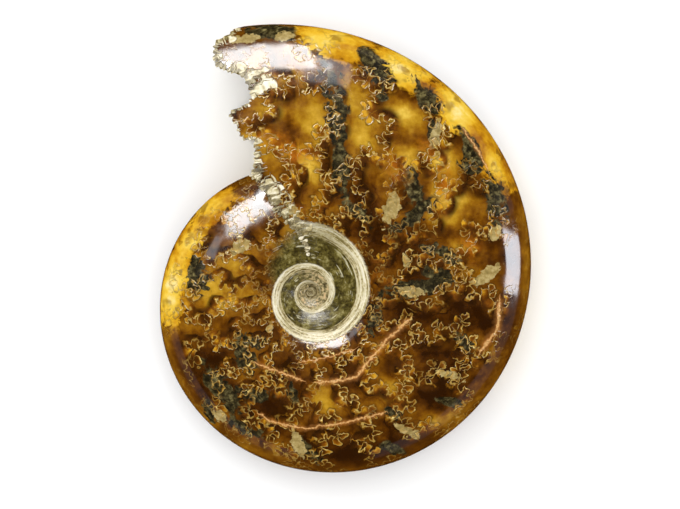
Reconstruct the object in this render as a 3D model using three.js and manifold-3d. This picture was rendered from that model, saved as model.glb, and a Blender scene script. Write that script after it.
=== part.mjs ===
// Polished ammonite fossil, one solid, lying on its flank.
// Millimetres, +Z up. Origin: centre of the bounding box on the surface it rests on.
// The shell is a plane coil. Every size grows with the angle turned about the coil axis,
// and the wide last whorl overlaps the one before it, leaving a stepped umbilicus.

import * as THREE from 'three';
import { ParametricGeometry } from 'three/addons/geometries/ParametricGeometry.js';
import { mergeVertices } from 'three/addons/utils/BufferGeometryUtils.js';
import Module from 'manifold-3d';

const wasm = await Module();
wasm.setup();

// ---- driving dimensions -------------------------------------------------------------------

const TURN = 2 * Math.PI;

const VENTER_RADIUS = 49.1; // coil axis to the outer rim, at growth angle 0
const VENTER_GROWTH = 2.133; // times per turn
const SHOULDER_RADIUS = 13.1; // coil axis to the umbilical shoulder, at growth angle 0
const SHOULDER_GROWTH = 2.4;
const HALF_BREADTH = 12.0; // half the whorl's thickness, at growth angle 0
const BREADTH_GROWTH = 1.5;

const APERTURE_ANGLE = 105; // degrees of growth at the broken end
const OVERRUN = 22; // degrees built past the break, then cut away
const WHORLS = 3; // turns built, counted back from the aperture
const CORE_RADIUS = 2.4; // first chamber, at the middle of the coil

const AXIS_LEAN = 3.2; // degrees the coil axis leans, so that the flank lies flat
const FLAT_DEPTH = 1.0; // ground off the lowest flank, the flat it rests on

const STEPS_PER_TURN = 60;
const SECTION_POINTS = 36;
const CAP_REACH = 6; // degrees

// Half a whorl section from the middle of its inner side to its venter. x runs outwards in
// whorl heights from the umbilical shoulder, y is the share of the half breadth.
const HALF_SECTION = [
  [-0.11, 0.0], [-0.11, 0.4], [-0.09, 0.62], [-0.055, 0.77], [-0.01, 0.866], [0.03, 0.915], [0.09, 0.962],
  [0.21, 1.0], [0.38, 0.97], [0.58, 0.87], [0.76, 0.715], [0.89, 0.515], [0.97, 0.275], [1.0, 0.0],
];

// The broken edge of the last whorl, from its top outer corner to the umbilical shoulder,
// in the plane of the coil. Lobes of the last chamber wall stand out between the bites.
const BROKEN_EDGE = [
  [-16.5, 66.0], [-17.6, 58.6], [-18.0, 57.0], [-20.9, 55.6], [-21.2, 51.2], [-19.2, 49.6],
  [-15.6, 48.4], [-13.8, 46.2], [-13.0, 43.2], [-14.2, 41.6], [-17.6, 39.9], [-17.4, 38.8],
  [-16.2, 37.4], [-15.4, 35.4], [-14.4, 34.0], [-12.6, 34.2], [-12.1, 32.4], [-12.3, 28.8],
  [-12.6, 26.4], [-10.8, 24.9], [-8.6, 21.7], [-6.8, 18.6], [-3.6, 15.5], [-1.4, 12.2],
  [-0.4, 9.0],
];

// ---- growth laws --------------------------------------------------------------------------

const radians = THREE.MathUtils.degToRad;
const grown = (size, perTurn, angle) => size * perTurn ** (angle / TURN);

// One point of the whorl surface. `angle` is the growth angle in radians; `x` and `y` are a
// point of the section in the units of HALF_SECTION.
function whorlPoint(angle, x, y, target) {
  const shoulder = grown(SHOULDER_RADIUS, SHOULDER_GROWTH, angle);
  const venter = grown(VENTER_RADIUS, VENTER_GROWTH, angle);
  const radius = shoulder + x * (venter - shoulder);
  const height = y * grown(HALF_BREADTH, BREADTH_GROWTH, angle);
  return target.set(radius * Math.cos(angle), radius * Math.sin(angle), height);
}

// The closed section as points: the lower half outwards, the upper half back.
function sectionOutline(count) {
  const half = new THREE.SplineCurve(HALF_SECTION.map(([x, y]) => new THREE.Vector2(x, y)));
  const upper = half.getPoints(count / 2);
  const lower = upper.map((p) => new THREE.Vector2(p.x, -p.y));
  return [...lower, ...upper.slice(1, -1).reverse()];
}

// A length of whorl between two growth angles. The first and last slices are single points
// CAP_REACH further on, so each end is a blunt cone that sinks into the piece it joins.
function whorlGeometry(fromDegrees, toDegrees) {
  const outline = sectionOutline(SECTION_POINTS);
  const middle = new THREE.Vector2(0.45, 0);
  const spans = Math.ceil(((toDegrees - fromDegrees) / 360) * STEPS_PER_TURN);
  const slices = spans + 2;
  const surface = (u, v, target) => {
    const slice = Math.round(u * slices);
    const along = THREE.MathUtils.clamp(slice - 1, 0, spans) / spans;
    const degrees = THREE.MathUtils.lerp(fromDegrees, toDegrees, along);
    const cap = slice === 0 ? -1 : slice === slices ? 1 : 0;
    const p = cap ? middle : outline[Math.round(v * SECTION_POINTS) % SECTION_POINTS];
    whorlPoint(radians(degrees + cap * CAP_REACH), p.x, p.y, target);
  };
  return new ParametricGeometry(surface, slices, SECTION_POINTS);
}

// ---- solids -------------------------------------------------------------------------------

// A closed geometry as a manifold solid: shared vertices are merged, flat triangles dropped.
function solid(geometry) {
  const bare = geometry.clone();
  for (const name of Object.keys(bare.attributes)) {
    if (name !== 'position') bare.deleteAttribute(name);
  }
  const merged = mergeVertices(bare, 1e-4);
  const index = merged.index.array;
  const kept = [];
  for (let i = 0; i < index.length; i += 3) {
    const [a, b, c] = [index[i], index[i + 1], index[i + 2]];
    if (a !== b && b !== c && c !== a) kept.push(a, b, c);
  }
  const mesh = new wasm.Mesh({
    numProp: 3,
    vertProperties: new Float32Array(merged.attributes.position.array),
    triVerts: new Uint32Array(kept),
  });
  return new wasm.Manifold(mesh);
}

function geometryOf(manifold) {
  const mesh = manifold.getMesh();
  const geometry = new THREE.BufferGeometry();
  geometry.setAttribute('position', new THREE.BufferAttribute(mesh.vertProperties, 3));
  geometry.setIndex(new THREE.BufferAttribute(mesh.triVerts, 1));
  geometry.computeVertexNormals();
  return geometry;
}

// Everything on the open side of the broken edge, as a tall block.
function brokenAwayBlock() {
  const outline = new THREE.Shape(BROKEN_EDGE.map(([x, y]) => new THREE.Vector2(x, y)));
  outline.lineTo(-30, 9);
  outline.lineTo(-60, 30);
  outline.lineTo(-60, 70);
  outline.closePath();
  const block = new THREE.ExtrudeGeometry(outline, { depth: 60, bevelEnabled: false });
  block.translate(0, 0, -30);
  return block;
}

// The last whorl in two halves, its outer end broken off along BROKEN_EDGE.
function lastWhorl() {
  const start = APERTURE_ANGLE - 360;
  const middle = start + 180;
  const end = APERTURE_ANGLE + OVERRUN;
  const young = solid(whorlGeometry(start, middle));
  const old = solid(whorlGeometry(middle, end));
  return old.subtract(solid(brokenAwayBlock())).add(young);
}

// The whorls inside the last one, seen only as steps in the umbilicus, and the first chamber.
function innerWhorls() {
  let coil = solid(new THREE.SphereGeometry(CORE_RADIUS, 16, 10));
  const outerEnd = APERTURE_ANGLE - 360;
  const innerEnd = APERTURE_ANGLE - 360 * WHORLS;
  for (let from = innerEnd; from < outerEnd; from += 180) {
    coil = coil.add(solid(whorlGeometry(from, from + 180)));
  }
  return coil;
}

// Lean the coil so that its lower flank lies along the ground, and grind the flat.
function restOnFlank(coil) {
  const geometry = geometryOf(coil);
  geometry.rotateX(radians(AXIS_LEAN));
  geometry.computeBoundingBox();
  const box = geometry.boundingBox;
  const centre = box.getCenter(new THREE.Vector3());
  const ground = box.min.z + FLAT_DEPTH;
  geometry.translate(-centre.x, -centre.y, -ground);
  const below = new THREE.BoxGeometry(160, 160, 20).translate(0, 0, -10);
  return geometryOf(solid(geometry).subtract(solid(below)));
}

// ---- the fossil ---------------------------------------------------------------------------

const calcite = new THREE.MeshStandardMaterial({
  name: 'amber brown calcite',
  color: 0x7a4f1c,
  roughness: 0.18,
  metalness: 0,
});

const ammonite = new THREE.Mesh(restOnFlank(innerWhorls().add(lastWhorl())), calcite);
ammonite.name = 'ammonite';

const group = new THREE.Group();
group.name = 'ammonite fossil';
group.add(ammonite);

export default group;
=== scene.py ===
"""Polished ammonite fossil, lying on its flank on a pale floor.

The fossil is one stone. Its shape is a plane coil whose every size grows with the angle
turned, and its markings are the chamber walls that the polish has cut through.
"""

from __future__ import annotations

import logging
import math
from dataclasses import dataclass
from enum import Enum
from typing import Any, Callable, Sequence, Union

import bmesh
import bpy
import numpy as np
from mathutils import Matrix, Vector
from mathutils.kdtree import KDTree

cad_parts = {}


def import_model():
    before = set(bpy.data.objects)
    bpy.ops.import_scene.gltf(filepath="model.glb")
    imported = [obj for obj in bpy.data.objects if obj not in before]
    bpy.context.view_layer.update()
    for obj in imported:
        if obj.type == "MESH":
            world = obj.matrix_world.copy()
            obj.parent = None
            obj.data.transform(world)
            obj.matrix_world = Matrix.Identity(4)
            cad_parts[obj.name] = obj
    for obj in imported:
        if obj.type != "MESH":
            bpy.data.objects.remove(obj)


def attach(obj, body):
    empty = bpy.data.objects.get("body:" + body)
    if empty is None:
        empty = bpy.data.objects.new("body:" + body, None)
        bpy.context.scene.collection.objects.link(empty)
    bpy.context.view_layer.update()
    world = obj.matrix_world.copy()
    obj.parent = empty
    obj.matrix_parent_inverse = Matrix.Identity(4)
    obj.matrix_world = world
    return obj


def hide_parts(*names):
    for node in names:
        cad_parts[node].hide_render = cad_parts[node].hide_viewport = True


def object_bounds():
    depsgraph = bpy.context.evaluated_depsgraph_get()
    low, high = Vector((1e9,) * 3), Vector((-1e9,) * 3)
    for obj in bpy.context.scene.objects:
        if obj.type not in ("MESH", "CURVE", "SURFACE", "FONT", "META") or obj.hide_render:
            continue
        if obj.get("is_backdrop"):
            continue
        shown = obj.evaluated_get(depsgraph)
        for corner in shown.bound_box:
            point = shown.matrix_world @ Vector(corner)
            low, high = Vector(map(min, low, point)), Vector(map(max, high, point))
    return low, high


log = logging.getLogger("ammonite")

MM = 0.001
TURN = 2 * math.pi

Socket = bpy.types.NodeSocket
Number = Union[float, Socket]
Colour = tuple[float, float, float, float]
Points = tuple[tuple[float, float], ...]
Stops = tuple[tuple[float, str], ...]
Span = tuple[float, float]
Pace = Callable[[np.ndarray], np.ndarray]


def tint(code: str) -> Colour:
    """Turn a six-digit hex colour into linear red, green, blue and alpha.

    Args:
        code: The colour as written on a paint card, such as "c58f2b".

    Returns:
        The linear colour with an alpha of 1.
    """
    parts = [int(code[i:i + 2], 16) / 255 for i in (0, 2, 4)]
    linear = [p / 12.92 if p <= 0.04045 else ((p + 0.055) / 1.055) ** 2.4 for p in parts]
    return (linear[0], linear[1], linear[2], 1.0)


# ---- node trees ---------------------------------------------------------------------------


class Wiring:
    """Adds nodes to one tree and joins them, for shaders and for geometry alike."""

    def __init__(self, tree: bpy.types.NodeTree) -> None:
        """Keep the tree that is being wired."""
        self.tree = tree

    def feed(self, socket: Socket, value: Any) -> None:
        """Link a socket into another, or set it to a constant.

        Args:
            socket: The input that is filled.
            value: An output socket, or a plain value.
        """
        if isinstance(value, Socket):
            self.tree.links.new(value, socket)
        else:
            socket.default_value = value

    def add(self, kind: str, inputs: dict[str, Any] | None = None, **settings: Any) -> bpy.types.Node:
        """Add one node.

        Args:
            kind: The node's type name.
            inputs: Values or links by input name or identifier.
            settings: The node's own properties.

        Returns:
            The new node.
        """
        node = self.tree.nodes.new(kind)
        for name, value in settings.items():
            setattr(node, name, value)
        for name, value in (inputs or {}).items():
            self.feed(self.socket(node.inputs, name), value)
        return node

    @staticmethod
    def socket(sockets: Any, name: str) -> Socket:
        """Find a live socket by its identifier, or else by its name.

        Args:
            sockets: The sockets to look through.
            name: The identifier, or the name.

        Returns:
            The socket.
        """
        for match in (lambda s: s.identifier == name, lambda s: s.name == name and s.enabled):
            for candidate in sockets:
                if match(candidate):
                    return candidate
        raise KeyError(name)

    def math(self, operation: str, *values: Number) -> Socket:
        """Add a Math node on up to three values and return its result.

        Args:
            operation: What the node does.
            values: Its values, in order.

        Returns:
            The result.
        """
        node = self.add("ShaderNodeMath", operation=operation)
        for socket, value in zip(node.inputs, values):
            self.feed(socket, value)
        return node.outputs[0]

    def plus(self, *values: Number) -> Socket:
        """Add up two or more values.

        Args:
            values: The values.

        Returns:
            Their sum.
        """
        total = values[0]
        for value in values[1:]:
            total = self.math("ADD", total, value)
        return total

    def minus(self, a: Number, b: Number) -> Socket:
        """Subtract b from a."""
        return self.math("SUBTRACT", a, b)

    def times(self, *values: Number) -> Socket:
        """Multiply two or more values.

        Args:
            values: The values.

        Returns:
            Their product.
        """
        product = values[0]
        for value in values[1:]:
            product = self.math("MULTIPLY", product, value)
        return product

    def over(self, a: Number, b: Number) -> Socket:
        """Divide a by b."""
        return self.math("DIVIDE", a, b)

    def vector(self, x: Number = 0.0, y: Number = 0.0, z: Number = 0.0) -> Socket:
        """Combine three values into a vector."""
        return self.add("ShaderNodeCombineXYZ", {"X": x, "Y": y, "Z": z}).outputs[0]

    def split(self, vector: Socket) -> tuple[Socket, ...]:
        """Separate a vector into its three values."""
        return tuple(self.add("ShaderNodeSeparateXYZ", {"Vector": vector}).outputs)

    def ease(self, value: Number, low: float, high: float,
             to_low: Number = 0.0, to_high: float = 1.0) -> Socket:
        """Fade smoothly from to_low at low to to_high at high, held beyond both ends.

        Args:
            value: The value that drives the fade.
            low: Where it starts.
            high: Where it ends.
            to_low: The result up to low.
            to_high: The result from high on.

        Returns:
            The faded value.
        """
        node = self.add("ShaderNodeMapRange", interpolation_type="SMOOTHSTEP")
        for socket, item in zip(node.inputs, (value, low, high, to_low, to_high)):
            self.feed(socket, item)
        return node.outputs[0]

    def mix(self, share: Number, a: Any, b: Any) -> Socket:
        """Mix two colours, from a at 0 to b at 1.

        Args:
            share: How much of b there is, 0 to 1.
            a: A colour.
            b: Another colour.

        Returns:
            The mixed colour.
        """
        node = self.add("ShaderNodeMix", data_type="RGBA")
        for name, item in (("Factor_Float", share), ("A_Color", a), ("B_Color", b)):
            self.feed(self.socket(node.inputs, name), item)
        return self.socket(node.outputs, "Result_Color")

    def ramp(self, value: Number, stops: Stops) -> Socket:
        """Turn a value into a colour by way of named stops.

        Args:
            value: The place along the ramp, 0 to 1.
            stops: Pairs of place and hex colour, in order.

        Returns:
            The colour socket.
        """
        node = self.add("ShaderNodeValToRGB", {"Fac": value})
        elements = node.color_ramp.elements
        while len(elements) < len(stops):
            elements.new(0.5)
        for element, (place, code) in zip(elements, stops):
            element.position = place
            element.color = tint(code)
        return node.outputs["Color"]

    def noise(self, vector: Socket, scale: float, detail: float = 2.0, rough: float = 0.5) -> bpy.types.Node:
        """Add a three-dimensional noise on a vector."""
        values = {"Vector": vector, "Scale": scale, "Detail": detail, "Roughness": rough}
        return self.add("ShaderNodeTexNoise", values)

    def grain(self, vector: Socket, scale: float, detail: float = 2.0, rough: float = 0.5) -> Socket:
        """Add a noise and give its value, 0 to 1."""
        return self.noise(vector, scale, detail, rough).outputs["Fac"]

    def swing(self, value: Socket, size: float) -> Socket:
        """Turn a value that runs from 0 to 1 into a swing to both sides of zero."""
        return self.times(self.minus(value, 0.5), size)


class SocketKind(Enum):
    """The socket types that group inputs and outputs use."""

    VALUE = "NodeSocketFloat"
    WHOLE = "NodeSocketInt"
    GEOMETRY = "NodeSocketGeometry"
    OBJECT = "NodeSocketObject"
    MATERIAL = "NodeSocketMaterial"


class Group(Wiring):
    """A geometry node group with named inputs and a mesh for its output."""

    def __init__(self, name: str, inputs: dict[str, SocketKind]) -> None:
        """Make the group, its interface and its two end nodes.

        Args:
            name: The group's name.
            inputs: Socket kinds by input name, in order.
        """
        super().__init__(bpy.data.node_groups.new(name, "GeometryNodeTree"))
        for label, socket in inputs.items():
            self.tree.interface.new_socket(label, in_out="INPUT", socket_type=socket.value)
        self.tree.interface.new_socket("Mesh", in_out="OUTPUT", socket_type=SocketKind.GEOMETRY.value)
        self.inputs = self.add("NodeGroupInput").outputs
        self.result = self.add("NodeGroupOutput").inputs[0]

    def identifiers(self) -> dict[str, str]:
        """Give each input's identifier by its name."""
        items = self.tree.interface.items_tree
        return {item.name: item.identifier for item in items if item.in_out == "INPUT"}


# ---- the coil -----------------------------------------------------------------------------


@dataclass(frozen=True)
class Growth:
    """A size of the coil that grows by the same factor each turn."""

    size: float
    per_turn: float

    def at(self, angle: Any) -> Any:
        """Give the size at a growth angle in radians."""
        return self.size * self.per_turn ** (angle / TURN)

    def wire(self, w: Wiring, angle: Number, unit: float = 1.0) -> Socket:
        """Wire the size as a function of a growth angle socket."""
        turns = w.times(angle, math.log(self.per_turn) / TURN)
        return w.times(w.math("EXPONENT", turns), self.size * unit)


@dataclass(frozen=True)
class Coil:
    """The growth laws and the section of the shell, in millimetres and degrees.

    Attributes:
        venter: Radius of the outer edge.
        shoulder: Radius of the umbilical shoulder.
        half_breadth: Half the whorl's thickness.
        aperture: Growth angle at which the last whorl is broken off.
        overrun: How far past that it is swept before the break is cut.
        whorls: How many turns are built.
        core_radius: Radius of the ball that fills the middle.
        axis_lean: How far the coil axis leans over as the fossil lies on its flank.
        flat_depth: How deep the flat that it lies on is ground.
        chamber_angle: Growth angle of one chamber.
        half_section: The upper half of the whorl's section, as points.
        inner_points: How many of them come before the thickness is measured.
    """

    CHART_STATIONS = 241
    CHART_ANGLES = 25

    venter: Growth = Growth(49.1, 2.133)
    shoulder: Growth = Growth(13.1, 2.4)
    half_breadth: Growth = Growth(12.0, 1.5)
    aperture: float = 105.0
    overrun: float = 22.0
    whorls: int = 3
    core_radius: float = 2.4
    axis_lean: float = 3.2
    flat_depth: float = 1.0
    chamber_angle: float = 17.0

    # From the middle of the whorl's inner side to its venter: whorl heights outwards from
    # the umbilical shoulder, and the share of the half breadth.
    half_section: Points = (
        (-0.11, 0.0), (-0.11, 0.4), (-0.09, 0.62), (-0.055, 0.77), (-0.01, 0.866), (0.03, 0.915),
        (0.09, 0.962), (0.21, 1.0), (0.38, 0.97), (0.58, 0.87), (0.76, 0.715), (0.89, 0.515), (0.97, 0.275),
        (1.0, 0.0),
    )
    inner_points: int = 3

    def height(self, angle: Any) -> Any:
        """Give the whorl height, shoulder to venter, at a growth angle in radians."""
        return self.venter.at(angle) - self.shoulder.at(angle)

    def across(self, radius: Any, angle: Any) -> Any:
        """Give how far out a radius lies on the whorl, 0 at the shoulder and 1 at the venter."""
        return (radius - self.shoulder.at(angle)) / self.height(angle)

    def section_stations(self) -> list[float]:
        """Give how far along the half section each of its points lies, 0 to 1.

        Returns:
            One station for each point.
        """
        run = [0.0]
        for (x0, y0), (x1, y1) in zip(self.half_section, self.half_section[1:]):
            run.append(run[-1] + math.hypot((x1 - x0) * self.height(0), (y1 - y0) * self.half_breadth.size))
        return [d / run[-1] for d in run]

    def chart(self, growth: np.ndarray, around: np.ndarray) -> np.ndarray:
        """Lay the whorl's surface out flat without stretching it, one chamber to a unit.

        Args:
            growth: Growth angle of each place, radians.
            around: Place round the section, -0.5 to 0.5, with the venter at 0.

        Returns:
            Chambers along the whorl, and the same measure from the venter towards the
            umbilicus, below zero on the lower flank.
        """
        step = math.radians(self.chamber_angle)
        stations = np.linspace(0, 1, self.CHART_STATIONS)
        outward = np.interp(stations, self.section_stations(), [x for x, _ in self.half_section])
        rise = np.interp(stations, self.section_stations(), [y for _, y in self.half_section])
        angles = np.linspace(float(growth.min()), float(growth.max()) + 0.01, self.CHART_ANGLES)
        table = []
        for angle in angles:
            radius = self.shoulder.at(angle) + outward * self.height(angle)
            height = rise * self.half_breadth.at(angle)
            pieces = np.hypot(np.diff(radius), np.diff(height)) / (0.5 * (radius[1:] + radius[:-1]) * step)
            table.append(np.concatenate([np.cumsum(pieces[::-1])[::-1], [0.0]]))
        rows = np.array(table)
        place = (growth - angles[0]) / (angles[1] - angles[0])
        row = np.clip(place.astype(int), 0, len(angles) - 2)
        column = (1 - np.abs(2 * around)) * (len(stations) - 1)
        left = np.clip(column.astype(int), 0, len(stations) - 2)
        a, b = place - row, column - left
        girth = ((rows[row, left] * (1 - b) + rows[row, left + 1] * b) * (1 - a)
                 + (rows[row + 1, left] * (1 - b) + rows[row + 1, left + 1] * b) * a)
        return np.stack([growth / step, np.sign(around) * girth], axis=1)

    def chamber_length(self, places: np.ndarray) -> np.ndarray:
        """Give the true length of one chamber at places on the flat chart, in millimetres.

        Args:
            places: The places, one row each.

        Returns:
            One length for each place.
        """
        step = math.radians(self.chamber_angle)
        inward = np.maximum(np.abs(places[:, 1]) - 0.5, 0)
        return step * self.venter.at(places[:, 0] * step) * np.exp(-step * inward)

    def half_breadth_at(self, radius: Any, angle: Any) -> Any:
        """Give half the whorl's thickness at a radius, in millimetres."""
        places, shares = zip(*self.half_section[self.inner_points:])
        return self.half_breadth.at(angle) * np.interp(self.across(radius, angle), places, shares)


class WhorlGroup(Group):
    """Geometry node group: one length of whorl swept along the coil, closed at both ends."""

    CAP_REACH = math.radians(6)
    CAP_OUT = 0.45
    JOIN_DISTANCE = 1e-6

    def __init__(self, coil: Coil) -> None:
        """Wire the sweep for a coil's growth laws.

        Args:
            coil: The growth laws and the section.
        """
        whole, value = SocketKind.WHOLE, SocketKind.VALUE
        inputs = {"From": value, "To": value, "Steps": whole, "Section Points": whole}
        super().__init__("whorl", inputs)
        self.coil = coil
        given = self.inputs
        grid = self.add("GeometryNodeMeshGrid", {
            "Size X": 1.0, "Size Y": 1.0,
            "Vertices X": self.plus(given["Steps"], 3.0),
            "Vertices Y": self.plus(given["Section Points"], 1.0),
        })
        along, around, _ = self.split(self.add("GeometryNodeInputPosition").outputs[0])
        slices = self.plus(given["Steps"], 2.0)
        step = self.math("ROUND", self.times(self.plus(along, 0.5), slices))
        held = self.math("MINIMUM", self.math("MAXIMUM", self.minus(step, 1.0), 0.0), given["Steps"])
        share = self.over(held, given["Steps"])
        past_end = self.math("GREATER_THAN", step, self.minus(slices, 0.5))
        at_end = self.minus(past_end, self.math("LESS_THAN", step, 0.5))
        span = self.minus(given["To"], given["From"])
        angle = self.plus(given["From"], self.times(share, span), self.times(at_end, self.CAP_REACH))
        out, rise = self.section(around)
        capped = self.math("ABSOLUTE", at_end)
        out = self.plus(self.times(out, self.minus(1.0, capped)), self.times(capped, self.CAP_OUT))
        rise = self.times(rise, self.minus(1.0, capped))
        shoulder = coil.shoulder.wire(self, angle, MM)
        venter = coil.venter.wire(self, angle, MM)
        radius = self.plus(shoulder, self.times(out, self.minus(venter, shoulder)))
        place = self.vector(
            self.times(radius, self.math("COSINE", angle)),
            self.times(radius, self.math("SINE", angle)),
            self.times(rise, coil.half_breadth.wire(self, angle, MM)),
        )
        kept = grid.outputs["Mesh"]
        for name, item in (("growth", angle), ("around", around)):
            values = {"Geometry": kept, "Name": name, "Value": item}
            kept = self.add("GeometryNodeStoreNamedAttribute", values,
                            data_type="FLOAT", domain="CORNER").outputs[0]
        swept = self.add("GeometryNodeSetPosition", {"Geometry": kept, "Position": place})
        closed = self.add("GeometryNodeMergeByDistance",
                          {"Geometry": swept.outputs[0], "Distance": self.JOIN_DISTANCE})
        self.feed(self.result, closed.outputs[0])

    def section(self, around: Socket) -> tuple[Socket, Socket]:
        """Wire the section: its place outwards, and its signed share of the half breadth.

        Args:
            around: The place round the section, -0.5 to 0.5, with the venter at 0.

        Returns:
            The outward place in whorl heights, and the rise, below zero on the lower flank.
        """
        half = self.minus(1.0, self.math("ABSOLUTE", self.times(around, 2.0)))
        points = self.coil.half_section
        stations = self.coil.section_stations()
        innermost = points[0][0]
        reach = 1 - innermost
        outward = self.curve(half, [(d, (x - innermost) / reach) for d, (x, _) in zip(stations, points)])
        rise = self.curve(half, [(d, y) for d, (_, y) in zip(stations, points)])
        side = self.math("SIGN", around)
        return self.plus(self.times(outward, reach), innermost), self.times(rise, side)

    def curve(self, value: Socket, points: Sequence[tuple[float, float]]) -> Socket:
        """Map a value through a smooth curve given by its points.

        Args:
            value: The value, 0 to 1.
            points: Points of the curve, in order.

        Returns:
            The height of the curve there.
        """
        node = self.add("ShaderNodeFloatCurve", {"Value": value})
        line = node.mapping.curves[0]
        line.points[0].location = points[0]
        line.points[-1].location = points[-1]
        for x, y in points[1:-1]:
            line.points.new(x, y)
        node.mapping.update()
        return node.outputs[0]


class FossilTree(Group):
    """Geometry node tree: the whorls joined, broken off, leaned over and ground flat."""

    CORE_SUBDIVISIONS = 5
    GROUND_SIDE = 160 * MM
    GROUND_DEPTH = 20 * MM

    def __init__(self, coil: Coil) -> None:
        """Wire the whole fossil for a coil's growth laws.

        Args:
            coil: The growth laws and the section.
        """
        whole, value = SocketKind.WHOLE, SocketKind.VALUE
        super().__init__("ammonite", {
            "Aperture": value, "Overrun": value, "Lean": value, "Flat Depth": value, "Core Radius": value,
            "Outer Steps": whole, "Inner Steps": whole, "Section Points": whole,
            "Broken Away": SocketKind.OBJECT, "Stone": SocketKind.MATERIAL,
        })
        self.whorl_group = WhorlGroup(coil).tree
        given = self.inputs
        half = math.pi
        start = self.minus(given["Aperture"], TURN)
        middle = self.plus(start, half)
        young = self.whorl(start, middle, given["Outer Steps"])
        old = self.whorl(middle, self.plus(given["Aperture"], given["Overrun"]), given["Outer Steps"])
        block = self.add("GeometryNodeObjectInfo", {"Object": given["Broken Away"]},
                         transform_space="ORIGINAL")
        pieces = [young, self.boolean("DIFFERENCE", [old, block.outputs["Geometry"]])]
        for turn_half in range(1, 2 * coil.whorls - 1):
            outer = self.minus(start, half * (turn_half - 1))
            pieces.append(self.whorl(self.minus(outer, half), outer, given["Inner Steps"]))
        core = self.add("GeometryNodeMeshIcoSphere",
                        {"Radius": given["Core Radius"], "Subdivisions": self.CORE_SUBDIVISIONS})
        joined = self.boolean("UNION", [*pieces, core.outputs["Mesh"]])
        position = self.add("GeometryNodeInputPosition").outputs[0]
        plan = self.add("ShaderNodeVectorMath", {"Vector": position, "Scale": 1 / MM}, operation="SCALE")
        kept = self.add("GeometryNodeStoreNamedAttribute",
                        {"Geometry": joined, "Name": "plan", "Value": plan.outputs[0]},
                        data_type="FLOAT_VECTOR", domain="POINT").outputs[0]
        rested = self.rest(kept)
        smooth = self.add("GeometryNodeSetShadeSmooth", {"Geometry": rested}).outputs[0]
        real = self.add("GeometryNodeRealizeInstances", {"Geometry": smooth}).outputs[0]
        dressed = self.add("GeometryNodeSetMaterial", {"Geometry": real, "Material": given["Stone"]})
        self.feed(self.result, dressed.outputs[0])

    def whorl(self, start: Number, end: Number, steps: Number) -> Socket:
        """Add one length of whorl between two growth angles in radians.

        Args:
            start: The growth angle that it starts at.
            end: The growth angle that it ends at.
            steps: How many slices it has.

        Returns:
            Its closed mesh.
        """
        node = self.add("GeometryNodeGroup", node_tree=self.whorl_group)
        values = {"From": start, "To": end, "Steps": steps, "Section Points": self.inputs["Section Points"]}
        for name, item in values.items():
            self.feed(node.inputs[name], item)
        return node.outputs[0]

    def boolean(self, operation: str, meshes: Sequence[Socket]) -> Socket:
        """Join closed meshes, or cut the first one by the others.

        Args:
            operation: UNION or DIFFERENCE.
            meshes: The meshes.

        Returns:
            The resulting mesh.
        """
        node = self.add("GeometryNodeMeshBoolean", operation=operation, solver="MANIFOLD")
        if operation == "DIFFERENCE":
            self.feed(node.inputs[0], meshes[0])
            meshes = meshes[1:]
        many = next(s for s in node.inputs if s.is_multi_input)
        for mesh in meshes:
            self.feed(many, mesh)
        return node.outputs[0]

    def rest(self, mesh: Socket) -> Socket:
        """Lean the coil, stand it centred on the ground and grind its flat.

        Args:
            mesh: The coil, in its own plane.

        Returns:
            The fossil as it lies.
        """
        lean = self.vector(self.inputs["Lean"])
        leaned = self.add("GeometryNodeTransform", {"Geometry": mesh, "Rotation": lean}).outputs[0]
        box = self.add("GeometryNodeBoundBox", {"Geometry": leaned})
        low_x, low_y, low_z = self.split(box.outputs["Min"])
        high_x, high_y, _ = self.split(box.outputs["Max"])
        shift = self.vector(
            self.times(self.plus(low_x, high_x), -0.5),
            self.times(self.plus(low_y, high_y), -0.5),
            self.times(self.plus(low_z, self.inputs["Flat Depth"]), -1.0),
        )
        stood = self.add("GeometryNodeTransform", {"Geometry": leaned, "Translation": shift}).outputs[0]
        size = (self.GROUND_SIDE, self.GROUND_SIDE, self.GROUND_DEPTH)
        slab = self.add("GeometryNodeMeshCube", {"Size": size})
        ground = self.add("GeometryNodeTransform",
                          {"Geometry": slab.outputs["Mesh"], "Translation": (0, 0, -self.GROUND_DEPTH / 2)})
        return self.boolean("DIFFERENCE", [stood, ground.outputs[0]])


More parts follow.
